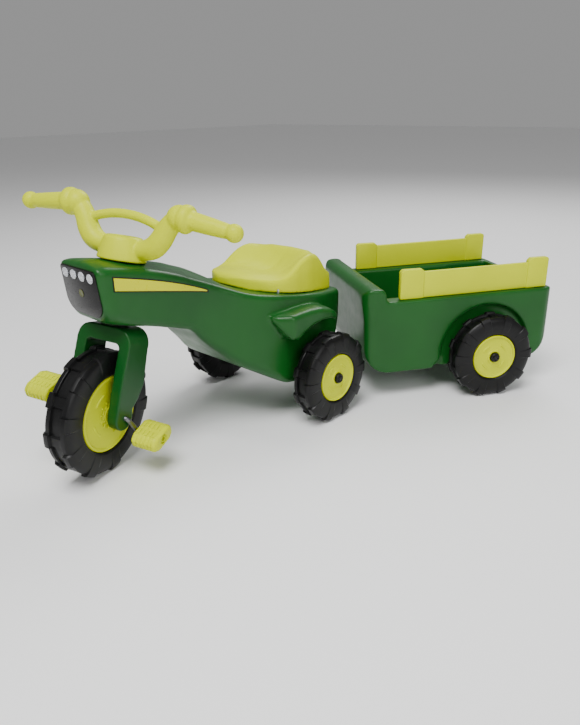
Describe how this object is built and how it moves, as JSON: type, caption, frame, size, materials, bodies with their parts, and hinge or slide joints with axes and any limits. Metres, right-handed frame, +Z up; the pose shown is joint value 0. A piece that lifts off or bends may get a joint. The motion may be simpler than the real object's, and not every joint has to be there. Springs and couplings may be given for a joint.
{
  "type": "ride-on pedal tricycle with towed wagon",
  "caption": "Tractor-styled plastic pedal tricycle with steered, directly pedalled front wheel, saddle seat and a hitched two-wheeled wagon with lift-out stake boards.",
  "frame": {"origin": "on the ground, under the middle of the posed object's box", "axes": "+Z up, -Y the way the tricycle rides, +X to the rider's left"},
  "size_m": [0.6621, 1.2517, 0.5141],
  "materials": {
    "green_plastic": "semi-gloss moulded polyethylene",
    "dark_green_plastic": "semi-gloss moulded polyethylene",
    "yellow_plastic": "semi-gloss moulded polyethylene",
    "black_plastic": "matt injection-moulded plastic",
    "tyre_black": "matt blow-moulded tread",
    "crank_steel": "dull zinc plate",
    "bolt_steel": "zinc plate",
    "lamp_grey": "speckled grey print under clear film",
    "grille_black": "printed film, black fading to grey",
    "badge_grey": "plain printed disc",
    "decal_yellow": "printed film",
    "decal_black": "printed film"
  },
  "bodies": {
    "tricycle": {"body_shell": "green_plastic", "grille_panel": "grille_black", "headlamps": "lamp_grey", "front_badge": "badge_grey", "stripe_border_left": "decal_black", "stripe_border_right": "decal_black", "stripe_field_left": "decal_yellow", "stripe_field_right": "decal_yellow", "seat": "yellow_plastic", "seat_screws": "bolt_steel", "bush_upper": "black_plastic", "bush_lower": "black_plastic", "rear_axle": "bolt_steel", "rear_spacers": "black_plastic", "hitch_pin": "bolt_steel", "hitch_clip": "bolt_steel"},
    "steering": {"fork": "dark_green_plastic", "steering_stem": "bolt_steel", "handlebar": "yellow_plastic", "stem_bolt": "bolt_steel", "axle_bushes": "black_plastic"},
    "front_wheel": {"front_tyre": "tyre_black", "front_disc_left": "yellow_plastic", "front_disc_right": "yellow_plastic", "crank_rod": "crank_steel"},
    "left_pedal": {"pedal_left": "yellow_plastic", "pedal_cap_left": "yellow_plastic"},
    "right_pedal": {"pedal_right": "yellow_plastic", "pedal_cap_right": "yellow_plastic"},
    "rear_wheel_left": {"rear_tyre_left": "tyre_black", "rear_disc_left": "yellow_plastic", "rear_cap_left": "black_plastic"},
    "rear_wheel_right": {"rear_tyre_right": "tyre_black", "rear_disc_right": "yellow_plastic", "rear_cap_right": "black_plastic"},
    "wagon": {"wagon_tub": "green_plastic", "wagon_tongue": "dark_green_plastic", "tongue_bolts": "bolt_steel", "wagon_axle": "bolt_steel", "wagon_spacers": "black_plastic"},
    "left_stake": {"stake_left": "yellow_plastic"},
    "right_stake": {"stake_right": "yellow_plastic"},
    "wagon_wheel_left": {"wagon_tyre_left": "tyre_black", "wagon_disc_left": "yellow_plastic", "wagon_cap_left": "black_plastic"},
    "wagon_wheel_right": {"wagon_tyre_right": "tyre_black", "wagon_disc_right": "yellow_plastic", "wagon_cap_right": "black_plastic"}
  },
  "joints": [
    {"name": "steer", "type": "hinge", "parent": "tricycle", "child": "steering", "pos_m": [-0.11328, -0.49173, 0.11897], "axis": [0, 0.247, 0.969], "range_deg": [-60.5, 19.5]},
    {"name": "front_wheel_spin", "type": "hinge", "parent": "steering", "child": "front_wheel", "pos_m": [-0.10638, -0.50961, 0.12353], "axis": [0.9367, 0.3394, -0.0865], "continuous": true},
    {"name": "left_pedal_spin", "type": "hinge", "parent": "front_wheel", "child": "left_pedal", "pos_m": [-0.11943, -0.48365, 0.08408], "axis": [0.9367, 0.3394, -0.0865], "continuous": true},
    {"name": "right_pedal_spin", "type": "hinge", "parent": "front_wheel", "child": "right_pedal", "pos_m": [-0.09333, -0.53557, 0.16298], "axis": [0.9367, 0.3394, -0.0865], "continuous": true},
    {"name": "rear_left_spin", "type": "hinge", "parent": "tricycle", "child": "rear_wheel_left", "pos_m": [-0.11328, -0.04932, 0.0975], "axis": [1, 0, 0], "continuous": true},
    {"name": "rear_right_spin", "type": "hinge", "parent": "tricycle", "child": "rear_wheel_right", "pos_m": [-0.11328, -0.04932, 0.0975], "axis": [1, 0, 0], "continuous": true},
    {"name": "hitch_yaw", "type": "hinge", "parent": "tricycle", "child": "wagon", "pos_m": [-0.11328, 0.07268, 0.096], "axis": [0, 0, 1], "range_deg": [-2, 68]},
    {"name": "wagon_left_spin", "type": "hinge", "parent": "wagon", "child": "wagon_wheel_left", "pos_m": [0.09831, 0.3985, 0.0975], "axis": [0.8387, -0.5446, 0], "continuous": true},
    {"name": "wagon_right_spin", "type": "hinge", "parent": "wagon", "child": "wagon_wheel_right", "pos_m": [0.09831, 0.3985, 0.0975], "axis": [0.8387, -0.5446, 0], "continuous": true},
    {"name": "left_stake_lift", "type": "slide", "parent": "wagon", "child": "left_stake", "axis": [0, 0, 1], "range_m": [0, 0.05]},
    {"name": "right_stake_lift", "type": "slide", "parent": "wagon", "child": "right_stake", "axis": [0, 0, 1], "range_m": [0, 0.05]}
  ]
}
